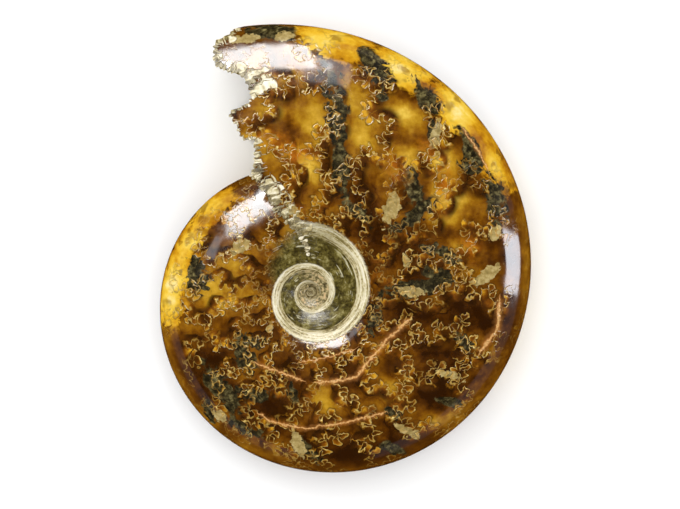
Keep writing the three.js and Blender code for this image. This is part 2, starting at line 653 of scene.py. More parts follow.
@dataclass(frozen=True)
class BrokenEnd:
    """The broken outer end of the last whorl: a hollowed chamber wall with frilled edges.

    Attributes:
        coil: The coil that it belongs to.
        recess: How deep the face is hollowed, millimetres.
        step: Spacing of the points along the edge, millimetres.
        half_height: Half the height of the block that is taken away, millimetres.
        rows: Layers of that block.
        into_whorl: Direction in which the face is hollowed.
        frill: Size of the frills along the edge, millimetres.
        frill_pace: How fast they turn, radians for each millimetre.
        frill_drift: How far they stray from an even pace, radians.
        drift_pace: How fast they stray, radians for each millimetre.
        fine_frill: Size of the small frills on them, millimetres.
        fine_pace: How fast those turn, radians for each millimetre.
        ripple: Size of the face's ripples, millimetres.
        ripple_up: How fast they turn up the coil axis, radians for each millimetre.
        ripple_out: The same outwards from it.
        face_ends: The part of a half wave that the hollow follows along the edge.
        fullness: How evenly deep the hollow is; the lower, the more even.
        edge: The broken edge, as points.
        open_side: Points that close the block on its open side.
        crust: Widths of the crust, as points.
        crust_across: The crust's width on the whorl before, as a share of its width here.
    """

    coil: Coil
    recess: float = 4.5
    step: float = 0.4
    half_height: float = 17.0
    rows: int = 44
    into_whorl: Span = (0.953, 0.303)
    frill: float = 0.26
    frill_pace: float = 4.1
    frill_drift: float = 1.3
    drift_pace: float = 0.9
    fine_frill: float = 0.14
    fine_pace: float = 7.7
    ripple: float = 0.35
    ripple_up: float = 0.9
    ripple_out: float = 0.8
    face_ends: Span = (0.12, 1)
    fullness: float = 0.7

    # The edge in the plane of the coil, millimetres from the coil axis, from the top outer
    # corner to the umbilical shoulder, then round the open side.
    edge: Points = (
        (-16.5, 66.0), (-17.6, 58.6), (-18.0, 57.0), (-20.9, 55.6), (-21.2, 51.2), (-19.2, 49.6),
        (-15.6, 48.4), (-13.8, 46.2), (-13.0, 43.2), (-14.2, 41.6), (-17.6, 39.9), (-17.4, 38.8),
        (-16.2, 37.4), (-15.4, 35.4), (-14.4, 34.0), (-12.6, 34.2), (-12.1, 32.4), (-12.3, 28.8),
        (-12.6, 26.4), (-10.8, 24.9), (-8.6, 21.7), (-6.8, 18.6), (-3.6, 15.5), (-1.4, 12.2), (-0.4, 9.0),
    )
    open_side: Points = ((-30.0, 9.0), (-60.0, 30.0), (-60.0, 70.0))

    # Width of the pale crust beside the edge, at heights up the edge, millimetres.
    crust: Points = (
        (9.0, 2.0), (14.0, 4.0), (20.0, 5.0), (26.0, 4.0), (33.0, 3.0), (35.5, 0.6), (43.0, 0.6),
        (45.5, 7.5), (49.5, 8.0), (51.5, 3.0), (55.0, 2.0), (57.5, 3.0), (62.0, 2.0),
    )
    crust_across: float = 0.35

    def line(self) -> np.ndarray:
        """Give the edge as closely spaced points with small frills added.

        Returns:
            Points in millimetres, one row each.
        """
        knots = np.array(self.edge)
        padded = np.vstack([2 * knots[0] - knots[1], knots, 2 * knots[-1] - knots[-2]])
        points = []
        for before, a, b, after in zip(padded, padded[1:], padded[2:], padded[3:]):
            count = max(2, round(float(np.linalg.norm(b - a)) / self.step))
            for t in np.arange(count) / count:
                points.append(0.5 * (2 * a + (b - before) * t + (2 * before - 5 * a + 4 * b - after) * t ** 2
                                     + (3 * a - before - 3 * b + after) * t ** 3))
        line = np.array(points + [knots[-1]])
        run = np.concatenate([[0], np.cumsum(np.linalg.norm(np.diff(line, axis=0), axis=1))])
        along = np.gradient(line, run, axis=0)
        outward = np.stack([-along[:, 1], along[:, 0]], axis=1)
        outward /= np.linalg.norm(outward, axis=1)[:, None]
        frill = self.frill * np.sin(run * self.frill_pace + self.frill_drift * np.sin(run * self.drift_pace))
        frill += self.fine_frill * np.sin(run * self.fine_pace + 1.0)
        return line + outward * frill[:, None]

    def block(self) -> bpy.types.Object:
        """Make the block that is taken away to leave the broken end.

        Returns:
            A closed object at the origin, in the coil's own plane.
        """
        line = self.line()
        radius = np.hypot(line[:, 0], line[:, 1])
        angle = np.arctan2(line[:, 1], line[:, 0])
        half = np.maximum(self.coil.half_breadth_at(radius, angle), 1.0)
        depth = self.recess * np.sin(np.linspace(*self.face_ends, len(line)) * math.pi) ** self.fullness
        rings = []
        for z in np.linspace(-self.half_height, self.half_height, self.rows + 1):
            hollow = np.clip(1 - (z / half) ** 2, 0, 1)
            ripple = self.ripple * np.sin(self.ripple_up * z + self.ripple_out * radius) * hollow
            shift = (depth * hollow + ripple)[:, None] * np.array(self.into_whorl)
            ring = np.vstack([line + shift, self.open_side])
            rings.append([(x * MM, y * MM, z * MM) for x, y in ring])
        mesh = bpy.data.meshes.new("broken_away")
        shell = bmesh.new()
        verts = [[shell.verts.new(p) for p in ring] for ring in rings]
        count = len(verts[0])
        for low, high in zip(verts, verts[1:]):
            for i in range(count):
                j = (i + 1) % count
                shell.faces.new((low[i], low[j], high[j], high[i]))
        shell.faces.new(verts[0])
        shell.faces.new(verts[-1])
        bmesh.ops.recalc_face_normals(shell, faces=shell.faces)
        shell.to_mesh(mesh)
        shell.free()
        mark = mesh.attributes.new("broken", "FLOAT", "CORNER")
        mark.data.foreach_set("value", np.ones(len(mesh.loops), dtype=np.float32))
        block = bpy.data.objects.new("broken_away", mesh)
        bpy.context.scene.collection.objects.link(block)
        return block


# ---- where the colours lie ----------------------------------------------------------------


class Tone(Enum):
    """The mineral colours that lie in patches, each kept as an attribute of its own."""

    GOLD = "gold"
    GREY = "grey"
    TAN = "tan"
    RIM = "rim"
    DEEP = "deep"
    RUST = "rust"


@dataclass(frozen=True)
class Patch:
    """One patch of a mineral colour on the flank.

    Attributes:
        tone: The colour.
        growth: Growth angle of its middle, degrees.
        across: How far out its middle lies, 0 at the shoulder and 1 at the venter.
        long: Half its length, millimetres.
        wide: Half its width, millimetres.
        turn: Which way its length lies, degrees from the growing direction towards the umbilicus.
        strength: How strongly it takes, 1 being full.
    """

    tone: Tone
    growth: float
    across: float
    long: float
    wide: float
    turn: float = 0.0
    strength: float = 1.0


# Each row holds a patch's numbers, in the order that Patch gives them.
PATCH_ROWS: dict[Tone, tuple[tuple[float, ...], ...]] = {
    # Yellow calcite under the outer rim, in lengths with brown breaks between them.
    Tone.RIM: (
        (84, 0.95, 8, 4.5), (67, 0.94, 7, 4.5), (51, 0.95, 7.5, 5), (35, 0.95, 7.5, 4.5),
        (-222, 0.92, 5, 3.6, 0, 0.85), (-204, 0.93, 5.5, 4, 0, 0.8), (-189, 0.88, 6.5, 5.5, 0, 0.88),
        (-175, 0.9, 5, 4, 0, 0.8),
    ),
    # Golden chambers.
    Tone.GOLD: (
        (93, 0.3, 4, 3, -70), (89, 0.55, 5, 4, -70), (72, 0.5, 4.5, 3, -35), (75, 0.65, 5, 3.6, -45),
        (53, 0.5, 5, 3.5, -20), (62, 0.7, 5, 3), (35, 0.6, 5.5, 3, 40), (30, 0.55, 4, 2, 40),
        (45, 0.7, 3, 3), (-186, 0.4, 5.5, 2.6, 90), (-176, 0.4, 6, 2.6, 80), (-83, 0.45, 4, 2.5, -50),
        (-50, 0.45, 3.5, 2, -60, 0.8), (17, 0.6, 4, 2, 55, 0.8), (-140, 0.98, 9, 2, 0, 0.6),
        (-42, 0.9, 8, 2, -15, 0.7), (-108, 0.93, 5, 2, 0, 0.5), (5, 0.97, 9, 1.5, 0, 0.6),
        (108, 0.42, 5, 4), (105, 0.28, 4, 3, 0, 0.7), (-160, 0.7, 6, 5, 0, 0.5),
        (-204, 0.5, 4, 3, 20, 0.6), (-64, 0.5, 4, 4, 0, 0.5), (-20, 0.5, 3, 3, 0, 0.5),
        (96, 0.7, 5, 2.5, 0, 0.8), (103, 0.55, 4, 2.5, 0, 0.8),
    ),
    # Grey-green mudstone.
    Tone.GREY: (
        (74, 0.88, 5, 2.5, -20), (70, 0.75, 1.5, 1.2), (59, 0.87, 4.5, 2, -15), (53, 0.75, 2.5, 1.2, -40),
        (82, 0.6, 9, 2.2, -75), (76, 0.3, 5, 2, -65), (43, 0.85, 5, 1.6, -10), (39, 0.77, 2, 1, 15),
        (28, 0.84, 5, 2.2, -5), (47, 0.45, 4, 2, -20), (38, 0.35, 5, 1.6, 85), (4, 0.27, 6.5, 1.8, -85),
        (9, 0.4, 4, 1.5, 65), (-189, 0.69, 3.6, 2.4, 40), (-140, 0.37, 4, 2, -15), (-133, 0.7, 6, 2, 0),
        (-141, 0.25, 3.5, 1.4, 45), (-131, 0.9, 3, 1.2, -30), (-116, 0.82, 4, 1.2, 5),
        (-100, 0.4, 3, 1, -65), (-20, 0.07, 3.5, 1.4, 20), (-38, 0.8, 2.5, 1.1, -65),
        (-55, 0.65, 2.2, 1.2, -70), (-90, 0.83, 3.5, 1.4, -50), (-62, 0.87, 2.5, 1.2, -50),
        (-17, 0.65, 3, 1.1, 65), (99, 0.95, 5, 2, 0), (-120, 0.55, 4, 1.2, 20), (18, 0.45, 4, 1.2, 50),
        (60, 0.15, 4, 1.2, 0),
    ),
    # Tan sediment.
    Tone.TAN: (
        (52, 0.75, 4, 1, -70), (47, 0.3, 4, 1.6, -65), (6, 0.71, 4.2, 1.4, -60), (2, 0.26, 3.4, 1, 80),
        (-30, 0.7, 3.4, 0.9, -80), (-55, 0.79, 3.8, 1, -65), (-95, 0.77, 3.8, 1.4, -65),
        (-126, 0.87, 1.6, 1), (-140, 0.09, 0.9, 0.8), (101, 0.05, 2.8, 0.9, -70),
        (-215, 0.47, 2.6, 1.6, -20), (96, 0.93, 2.2, 1, 15), (19, 0.23, 2.2, 0.9),
        (18, 0.78, 1.8, 1.1, -55), (104, 0.93, 3, 1),
    ),
    # Deep brown.
    Tone.DEEP: (
        (-144, 0.68, 9, 5), (-76, 0.8, 12, 5, -5), (-29, 0.62, 9, 5, 60), (-111, 0.3, 6, 4),
        (-35, 0.1, 6, 4, 70, 0.7), (-6, 0.7, 7, 4, 55), (-79, 0.6, 7, 3, -40, 0.8),
        (-10, 0.3, 6, 3, 80, 0.8), (-224, 0.72, 4, 3, 90, 0.7), (-108, 0.6, 6, 4, -15, 0.8),
        (101, 0.25, 5.6, 2.5, -65, 0.8), (49, 0.17, 7, 2.5, -30), (-165, 0.4, 5, 5, 0, 0.6),
        (-62, 0.25, 6, 5, 0, 0.5), (22, 0.3, 6, 4, 0, 0.6),
    ),
    # Rust-stained spots.
    Tone.RUST: (
        (104, 0.42, 3.2, 1.1, 0, 0.9), (98, 0.36, 2, 1.6), (95, 0.33, 2.4, 1.2, 30),
        (55, 0.46, 2.6, 1.6, -30, 0.8), (40, 0.62, 3, 1.4, -40, 0.9), (17, 0.62, 2.2, 1.6, 0, 0.9),
        (51, 0.66, 2, 1.2, 0, 0.8),
    ),
}

PATCHES: tuple[Patch, ...] = tuple(Patch(tone, *row) for tone, rows in PATCH_ROWS.items() for row in rows)


@dataclass(frozen=True)
class Fold:
    """One size of fold in a chamber wall.

    Attributes:
        length: Length of one wave, in chambers.
        lean: How far the line leans away from straight at its steepest, degrees.
        unrest: How much both of them wander.
    """

    SAMPLES_PER_WAVE = 40

    length: float
    lean: float
    unrest: float

    def laid_along(self, base: np.ndarray, rng: np.random.Generator) -> np.ndarray:
        """Fold a line into meanders.

        Args:
            base: The line's points, in chambers.
            rng: Where the wandering comes from.

        Returns:
            The folded line's points.
        """
        run = np.concatenate([[0], np.cumsum(np.linalg.norm(np.diff(base, axis=0), axis=1))])
        count = int(run[-1] / self.length * self.SAMPLES_PER_WAVE)
        s = np.linspace(0, run[-1], count)
        base = np.stack([np.interp(s, run, base[:, i]) for i in (0, 1)], axis=1)
        knots = np.arange(0, run[-1] + 2 * self.length, self.length)
        drift = np.interp(s, knots, rng.uniform(-1, 1, len(knots)))
        swell = np.interp(s, knots, rng.uniform(-1, 1, len(knots)))
        step = s[1] - s[0]
        phase = np.cumsum(1 + self.unrest * drift) * step * TURN / self.length + rng.uniform(0, TURN)
        heading = math.radians(self.lean) * (1 + self.unrest * swell) * np.sin(phase)
        shrink = float(np.mean(np.cos(heading)))
        onward = np.cumsum(np.cos(heading) / shrink - 1) * step
        aside = np.cumsum(np.sin(heading) / shrink) * step
        window = int(self.length / step) | 1
        onward, aside = (self.steadied(track, window) for track in (onward, aside))
        ahead = np.gradient(base, axis=0)
        ahead /= np.linalg.norm(ahead, axis=1)[:, None]
        sideways = np.stack([ahead[:, 1], -ahead[:, 0]], axis=1)
        return base + ahead * onward[:, None] + sideways * aside[:, None]

    @staticmethod
    def steadied(track: np.ndarray, window: int) -> np.ndarray:
        """Take a track's slow drift away, leaving its waves.

        Args:
            track: The track.
            window: How many points the drift is averaged over.

        Returns:
            The track with no drift.
        """
        padded = np.pad(track, window, mode="edge")
        for _ in range(2):
            padded = padded - np.convolve(padded, np.ones(window) / window, mode="same")
        return padded[window:-window]


@dataclass(frozen=True)
class ChamberWalls:
    """Where the walls between the chambers meet the polished flank.

    Attributes:
        first: Number of the first wall, counted in chambers from growth angle 0.
        last: Number of the last wall.
        edge: How far each wall runs either way from the venter, in chambers.
        bow: How far a wall bows forward at the venter, in chambers.
        bow_pace: How fast the bow turns, radians for each chamber across.
        folds: The folds laid along it, from the largest to the smallest.
        run: Length along a wall in which its frill repeats, millimetres.
        lobes_in_run: Lobes in that length.
        lobe_depth: How deep they are, millimetres.
        notches_in_run: Notches in that length.
        notch_depth: How deep they are, millimetres.
        wander: How far the lobes stray along the wall, radians.
        notch_wander: How much more than that the notches stray.
        bunching: How much the lobes bunch up.
        cusp: How sharply the wall turns between two lobes.
        frilly: Least and most size of the frill from place to place.
        young: Size of the frill on the youngest whorls.
        young_until: Radii between which it grows to its full size, millimetres.
        reach: Distance from a wall past which it no longer counts, in chambers.
        seed: Start of the random draws.
    """

    POINTS_ACROSS = 400

    first: int = -17
    last: int = 8
    edge: float = 6.6
    bow: float = 0.12
    bow_pace: float = 0.7
    folds: tuple[Fold, ...] = (Fold(1.7, 56, 0.25), Fold(0.56, 82, 0.2), Fold(0.27, 34, 0.35))
    run: float = 7.0
    lobes_in_run: int = 3
    lobe_depth: float = 1.9
    notches_in_run: int = 9
    notch_depth: float = 0.11
    wander: float = 5.0
    notch_wander: float = 3.0
    bunching: float = 0.22
    cusp: float = 2.2
    frilly: Span = (0.45, 1.25)
    young: float = 0.4
    young_until: Span = (12.0, 34.0)
    reach: float = 0.4
    seed: int = 4

    def lines(self) -> list[np.ndarray]:
        """Give each wall's line across both flanks, in chambers.

        Returns:
            Points of each line, one row each.
        """
        rng = np.random.default_rng(self.seed)
        lines = []
        for number in range(self.first, self.last + 1):
            reach = np.linspace(-self.edge, self.edge, self.POINTS_ACROSS)
            line = np.stack([number + self.bow * np.cos(reach * self.bow_pace), reach], axis=1)
            for fold in self.folds:
                line = fold.laid_along(line, rng)
            lines.append(line)
        return lines


class Nearness:
    """How far places lie from the nearest of a set of curves, on which side, and how far along it."""

    def __init__(self, curves: Sequence[np.ndarray], spacing: float, pace: Pace | None = None) -> None:
        """Sample the curves closely.

        Args:
            curves: Points of each curve.
            spacing: Distance between samples.
            pace: True length of one unit at each place, where that is not one.
        """
        points, normals, runs, paces = [], [], [], []
        for curve in curves:
            run = np.concatenate([[0], np.cumsum(np.linalg.norm(np.diff(curve, axis=0), axis=1))])
            s = np.linspace(0, run[-1], max(3, int(run[-1] / spacing)))
            line = np.stack([np.interp(s, run, curve[:, i]) for i in (0, 1)], axis=1)
            ahead = np.gradient(line, axis=0)
            ahead /= np.linalg.norm(ahead, axis=1)[:, None]
            true_size = pace(line) if pace else np.ones(len(line))
            points.append(line)
            normals.append(np.stack([ahead[:, 1], -ahead[:, 0]], axis=1))
            runs.append(np.cumsum(np.gradient(s) * true_size))
            paces.append(true_size)
        self.points = np.concatenate(points)
        self.normals = np.concatenate(normals)
        self.runs = np.concatenate(runs)
        self.paces = np.concatenate(paces)
        self.spacing = spacing
        self.tree = KDTree(len(self.points))
        for index, (x, y) in enumerate(self.points):
            self.tree.insert((x, y, 0.0), index)
        self.tree.balance()

    def measure(self, places: np.ndarray) -> tuple[np.ndarray, np.ndarray]:
        """Measure places.

        Args:
            places: The places, one row each.

        Returns:
            The signed distances, and how far along its curve each place's nearest point lies.
        """
        nearest = np.array([self.tree.find((x, y, 0.0))[1] for x, y in places])
        gap = places - self.points[nearest]
        normal = self.normals[nearest]
        length = np.linalg.norm(gap, axis=1)
        side = np.sum(gap * normal, axis=1)
        ahead = gap[:, 1] * normal[:, 0] - gap[:, 0] * normal[:, 1]
        close = length < 2 * self.spacing
        run = self.runs[nearest] + np.where(close, ahead, 0.0) * self.paces[nearest]
        return np.where(close, side, np.sign(side) * length), run

    @staticmethod
    def wound(values: np.ndarray, half_turn: float) -> np.ndarray:
        """Wind values round a circle, so that they blend even where the nearest curve changes."""
        phase = values / half_turn * math.pi
        return np.stack([np.cos(phase), np.sin(phase), np.zeros_like(phase)], axis=1)


@dataclass(frozen=True)
class Crack:
    """A healed crack, as points on the flank in millimetres from the coil axis."""

    name: str
    points: Points
    half_width: float

    def line(self) -> np.ndarray:
        """Give the crack's points, one row each."""
        return np.array(self.points)


CRACK_REACH = 4.0

CRACKS: tuple[Crack, ...] = (
    Crack("left", ((-11.5, -15.2), (-8.0, -16.6), (-2.3, -18.8)), 0.26),
    Crack("right", ((2.2, -19.2), (6.0, -19.0), (10.2, -18.1), (12.0, -15.4), (14.5, -12.8), (17.2, -9.4),
                    (21.4, -5.8)), 0.34),
    Crack("long", ((-10.8, -26.8), (-9.0, -28.2), (-4.7, -29.1), (-1.2, -29.8), (3.1, -29.1), (8.2, -28.2),
                   (15.8, -26.4)), 0.24),
    Crack("under", ((-1.8, -14.8), (3.8, -13.9), (9.1, -12.1)), 0.16),
    Crack("rim", ((41.8, -1.8), (41.6, -7.8), (39.6, -10.2), (38.0, -12.3)), 0.42),
    Crack("upper", ((34.0, 36.0), (36.9, 32.0), (39.1, 28.0)), 0.22),
)


# ---- finishes -----------------------------------------------------------------------------


@dataclass(frozen=True)
class ChamberStone:
    """The polished flank: chamber walls cut through, and the calcite between them.

    Attributes:
        depths: Colours of the calcite, from its darkest depths to its brightest.
        foliage: Colours inside the lobes of a wall, from their edge inwards.
        margin: Colours of the calcite near the outer edge.
        line_reach: Where a wall's line fades out, millimetres from the wall.
        halo_reach: The same for the dark halo outside the line.
        glow_reach: The same for the glow inside the lobes.
        leafy_reach: Where the lobes' own colour takes over, millimetres past the plain wall.
        comb_reach: Where the frill stops shaping the patches, millimetres from the plain wall.
        fading: Levels of a broad noise over which the lines fade or show.
        margin_from: Where the flank gives way to its outer margin, across the whorl.
        margin_cover: How far the margin hides the lines.
        brightness: The calcite's usual place on the scale of its depths.
        gold_lift: How much brighter it is in the golden chambers.
        deep_sink: How much darker it is in the deep brown ones.
        rim_edge: Strengths over which the yellow calcite takes.
        mud_edge: Strengths over which the mudstone takes.
        mud_bounds: Strengths below which its patches end.
        sediment_edge: Strengths over which the tan sediment takes.
        crack_core: Where a healed crack fades out, in its own half widths.
        crack_haze: The same for the faint haze round it.
        crack_heart: The same for its pale middle.
    """

    depths: Stops = (
        (0.0, "2c1402"), (0.2, "492603"), (0.38, "6b3f06"), (0.54, "8c5c0d"),
        (0.7, "ab7f1a"), (0.85, "c4992c"), (1.0, "dcb84a"),
    )
    foliage: Stops = ((0.0, "cc9722"), (0.12, "a07014"), (0.3, "744108"), (0.6, "4a2805"), (1.0, "2b1503"))
    margin: Stops = ((0.0, "3a1d03"), (0.35, "5c3406"), (0.6, "7e500c"), (0.85, "a9761a"), (1.0, "c9962c"))
    mud: Stops = ((0.0, "1c170a"), (0.4, "383018"), (0.72, "5f5533"), (1.0, "8e8250"))
    sediment: Stops = ((0.0, "7d6a3a"), (0.5, "a08a52"), (1.0, "bfab76"))
    rim: Stops = ((0.0, "9a5f0c"), (0.26, "c28a14"), (0.48, "dcad2a"), (0.75, "e6c24a"), (1.0, "f0da90"))
    wall_line: str = "a5853a"
    wall_line_bright: str = "ebd07a"
    halo: str = "2a1605"
    lobe_glow: str = "b87c1a"
    rust: str = "b0620e"
    healed: str = "b5773a"
    healed_core: str = "dcab6c"
    line_reach: Span = (0.04, 0.16)
    halo_reach: Span = (0.1, 0.55)
    glow_reach: Span = (0.1, 0.5)
    leafy_reach: Span = (-3.2, -1.2)
    comb_reach: Span = (0.8, 2.6)
    fading: Span = (0.4, 0.56)
    margin_from: Span = (0.84, 0.94)
    margin_cover: float = 0.65
    brightness: float = 0.38
    gold_lift: float = 0.44
    deep_sink: float = 0.31
    rim_edge: Span = (0.4, 0.56)
    mud_edge: Span = (0.45, 0.66)
    mud_bounds: Span = (0.12, 0.3)
    sediment_edge: Span = (0.47, 0.56)
    crack_core: Span = (0.6, 1.5)
    crack_haze: Span = (0.8, 3.6)
    crack_heart: Span = (0.2, 0.9)


@dataclass(frozen=True)
class UmbilicusShell:
    """The umbilicus: the cream wrinkled wall of shell, and the olive whorl inside it.

    Attributes:
        wall: Colours of the wall.
        flank: Colours of the olive whorl.
        scratch: Colour of its scratches.
        middle: Colours of the smallest whorls.
        olive_from: Growth angles over which the inner whorl turns from olive to amber, degrees.
        olive_sector: The same for the olive sector beside the broken end.
        middle_from: Growth angles over which the smallest whorls turn olive, degrees.
        worn_from: Growth angles over which the wall turns thin and worn, degrees.
        painted_foot_shade: Where painted shade darkens the wall towards its foot down in the umbilicus, and
            the wall grows paler towards its top, across the whorl.
        edge: Where the wall ends, across the whorl.
        wrinkles: Relief of its wrinkles, millimetres.
        pitting: Relief of its pits, millimetres.
    """

    wall: Stops = ((0.0, "6a5a2f"), (0.2, "a3925f"), (0.45, "cfc193"), (0.75, "e4d9b4"), (1.0, "f1e9cf"))
    flank: Stops = ((0.0, "241d06"), (0.3, "453b12"), (0.6, "6c6029"), (1.0, "a89f68"))
    scratch: str = "cfc8a4"
    middle: Stops = ((0.0, "4a4028"), (0.4, "85784f"), (0.7, "bcab7d"), (1.0, "e0b98a"))
    olive_from: Span = (-272, -250)
    olive_sector: Span = (-214, -180)
    middle_from: Span = (-660, -570)
    worn_from: Span = (35, 80)
    painted_foot_shade: Span = (-0.1, -0.01)
    edge: Span = (-0.012, 0.008)
    wrinkles: float = 0.3
    pitting: float = 0.12


@dataclass(frozen=True)
class BrokenCalcite:
    """The broken end: pale, pitted crystal.

    Attributes:
        crease: Colour of the creases between its ridges.
        face: Colours of the ridges.
        crease_reach: Where a crease fades out, in the ridges' own noise.
        crust_edge: Strengths over which the crust beside the edge takes.
        ridging: Relief of the ridges, millimetres.
        lumpiness: Relief of the lumps between them, millimetres.
    """

    crease: str = "67562a"
    face: Stops = ((0.0, "453a1a"), (0.28, "80713c"), (0.5, "b3a26c"), (0.75, "d8cba0"), (1.0, "f2ead2"))
    crease_reach: Span = (0.0, 0.05)
    crust_edge: Span = (0.48, 0.6)
    ridging: float = 0.35
    lumpiness: float = 0.2


@dataclass(frozen=True)
class Polish:
    """How smooth the stone is.

    Attributes:
        ior: Refractive index of calcite.
        rough: Least and most roughness of the flank.
        on_walls: Roughness added on the chamber walls, and so on for the other places.
        gloss: Specular level seen square on, and seen at a slant.
        slant: How far a place faces away where the level starts and ends its change.
        waves: Relief that the grinding left in the flank, millimetres.
        groove: How deep the chamber walls lie in it, millimetres.
    """

    ior: float = 1.6
    rough: Span = (0.07, 0.13)
    on_walls: float = 0.12
    on_mud: float = 0.06
    on_umbilicus: float = 0.07
    on_break: float = 0.4
    gloss: Span = (0.5, 0.03)
    slant: Span = (0.2, 0.45)
    waves: float = 0.12
    groove: float = 0.035


@dataclass(frozen=True)
class Finishes:
    """All the finishes that the one stone shows."""

    flank: ChamberStone = ChamberStone()
    shell: UmbilicusShell = UmbilicusShell()
    broken: BrokenCalcite = BrokenCalcite()
    polish: Polish = Polish()


class StoneMaterial(Wiring):
    """The fossil's one material: flank, umbilicus and broken end, chosen by place."""

    # Noises, each as its scale for one millimetre, its detail and its roughness.
    CLOUD = (0.12, 3.0, 0.55)
    FINE = (0.8, 3.0, 0.6)
    WISP = (0.22, 2.0)
    DRIFT = (0.085, 2.0)
    STRAY = (0.45, 2.0)
    MUD_GRAIN = (0.9, 3.0, 0.6)
    CRACK_SHAKE = (0.9, 3.0)
    CRACK_GRAIN = (2.5, 2.0)
    SHEEN = (0.35, 2.0)
    GRIND = (0.16, 1.0)
    SPECKS = (1.7, 3.0, 0.65)
    LUMPS = (0.5, 3.0, 0.6)

    # Noises in streaks, each as its stretch along, across and up, and then the noise.
    WALL_STREAKS = ((1.3, 60.0, 1.3), (1.0, 4.0, 0.7))
    OLIVE_BLOTS = ((3.5, 8.0, 0.3), (1.2, 4.0, 0.7))
    SCRATCHES = ((2.2, 26.0, 0.5), (1.0, 3.0, 0.6))

    # The ridges of the broken face: their stretch along the edge, away from it and up.
    RIDGE_STRETCH = (1.4, 0.26, 0.25)
    RIDGES = (1.0, 3.0, 0.6)

    def __init__(self, coil: Coil, walls: ChamberWalls, finishes: Finishes) -> None:
        """Make the material and wire it.

        Args:
            coil: The growth laws that place the markings.
            walls: The chamber walls.
            finishes: The finishes of the stone.
        """
        self.material = bpy.data.materials.new("ammonite_stone")
        self.material.use_nodes = True
        super().__init__(self.material.node_tree)
        self.tree.nodes.clear()
        self.coil = coil
        self.walls = walls
        self.flank = finishes.flank
        self.shell = finishes.shell
        self.broken = finishes.broken
        self.polish = finishes.polish
        self.plan = self.vector_attribute("plan")
        self.growth = self.attribute("growth")
        self.x, self.y, self.z = self.split(self.plan)
        self.radius = self.math("SQRT", self.plus(self.times(self.x, self.x), self.times(self.y, self.y)))
        shoulder = coil.shoulder.wire(self, self.growth)
        height = self.minus(coil.venter.wire(self, self.growth), shoulder)
        self.across = self.over(self.minus(self.radius, shoulder), height)
        self.wire()

    def attribute(self, name: str) -> Socket:
        """Read a number kept on the mesh."""
        return self.add("ShaderNodeAttribute", attribute_name=name).outputs["Fac"]

    def vector_attribute(self, name: str) -> Socket:
        """Read a vector kept on the mesh."""
        return self.add("ShaderNodeAttribute", attribute_name=name).outputs["Vector"]

    def grown(self, value: Socket, span: Span, to_low: float = 1.0, to_high: float = 0.0) -> Socket:
        """Fade over a span of growth angles given in degrees."""
        return self.ease(value, math.radians(span[0]), math.radians(span[1]), to_low, to_high)

    def wire(self) -> None:
        """Wire the whole surface."""
        stone, wall_line, mud = self.chambers()
        stone = self.cracked(stone)
        umbilicus, in_umbilicus, wrinkles = self.umbilicus()
        colour = self.mix(in_umbilicus, stone, umbilicus)
        crumbs, is_broken, pits = self.broken_end()
        colour = self.mix(is_broken, colour, crumbs)
        polish = self.polish
        rough = self.plus(
            self.ease(self.grain(self.plan, *self.SHEEN), 0.3, 0.7, *polish.rough),
            self.times(wall_line, polish.on_walls), self.times(mud, polish.on_mud),
            self.times(in_umbilicus, polish.on_umbilicus), self.times(is_broken, polish.on_break),
        )
        ground = self.grain(self.plan, *self.GRIND)
        flank_relief = self.plus(self.times(ground, polish.waves), self.times(wall_line, -polish.groove))
        relief = self.plus(
            self.times(flank_relief, self.minus(1.0, self.math("MAXIMUM", in_umbilicus, is_broken))),
            self.times(wrinkles, in_umbilicus), self.times(pits, is_broken),
        )
        bump = self.add("ShaderNodeBump", {"Strength": 1.0, "Distance": MM, "Height": relief})
        facing = self.add("ShaderNodeLayerWeight", {"Blend": 0.5}).outputs["Facing"]
        surface = self.add("ShaderNodeBsdfPrincipled", {
            "Base Color": colour, "Roughness": rough, "IOR": polish.ior, "Normal": bump.outputs[0],
            "Specular IOR Level": self.ease(facing, *polish.slant, *polish.gloss),
        })
        output = self.add("ShaderNodeOutputMaterial")
        self.feed(output.inputs["Surface"], surface.outputs[0])

    def unwound(self, name: str, reach: float) -> Socket:
        """Read back a distance that was kept wound round a circle."""
        across, along, _ = self.split(self.vector_attribute(name))
        return self.times(self.math("ARCTAN2", along, across), reach / math.pi)

    def frilled_wall(self) -> tuple[Socket, ...]:
        """Wire the chamber walls' frills on to their folds.

        Returns:
            The distance past the frilled wall in millimetres, the same past its plain folds, and
            how far each place lies inside a lobe of the frill, from 0 at a cusp to 1.
        """
        walls = self.walls
        plain = self.unwound("wall", walls.reach)
        phase = self.unwound("wall_run", math.pi)
        stray, _, rough = self.split(self.noise(self.plan, *self.STRAY).outputs["Color"])
        stray = self.swing(stray, walls.wander)
        turn = self.plus(self.times(phase, walls.lobes_in_run / 2), stray)
        turn = self.plus(turn, self.times(self.math("SINE", self.times(turn, 2.0)), walls.bunching))
        lobe = self.math("POWER", self.math("ABSOLUTE", self.math("SINE", turn)), walls.cusp)
        notch_turn = self.plus(self.times(phase, walls.notches_in_run), self.times(stray, walls.notch_wander))
        notch = self.math("SINE", notch_turn)
        frilly = self.ease(rough, 0.3, 0.7, *walls.frilly)
        frilled = self.times(self.ease(self.radius, *walls.young_until, walls.young, 1.0), frilly)
        deep = self.times(frilled, walls.lobe_depth)
        shallow = self.times(frilled, walls.notch_depth)
        size = self.times(self.math("MAXIMUM", self.radius, 1.0), math.radians(self.coil.chamber_angle))
        plain = self.times(plain, size)
        past = self.plus(plain, self.times(self.minus(0.5, lobe), deep), self.times(notch, shallow))
        per_run = TURN / walls.run
        tilt = self.times(self.math("COSINE", turn), deep, per_run * walls.lobes_in_run / 2)
        notch_tilt = self.times(shallow, 0.5 * per_run * walls.notches_in_run)
        tilt = self.plus(self.math("ABSOLUTE", tilt), notch_tilt)
        steepness = self.math("SQRT", self.plus(1.0, self.times(tilt, tilt)))
        return self.over(past, steepness), plain, lobe

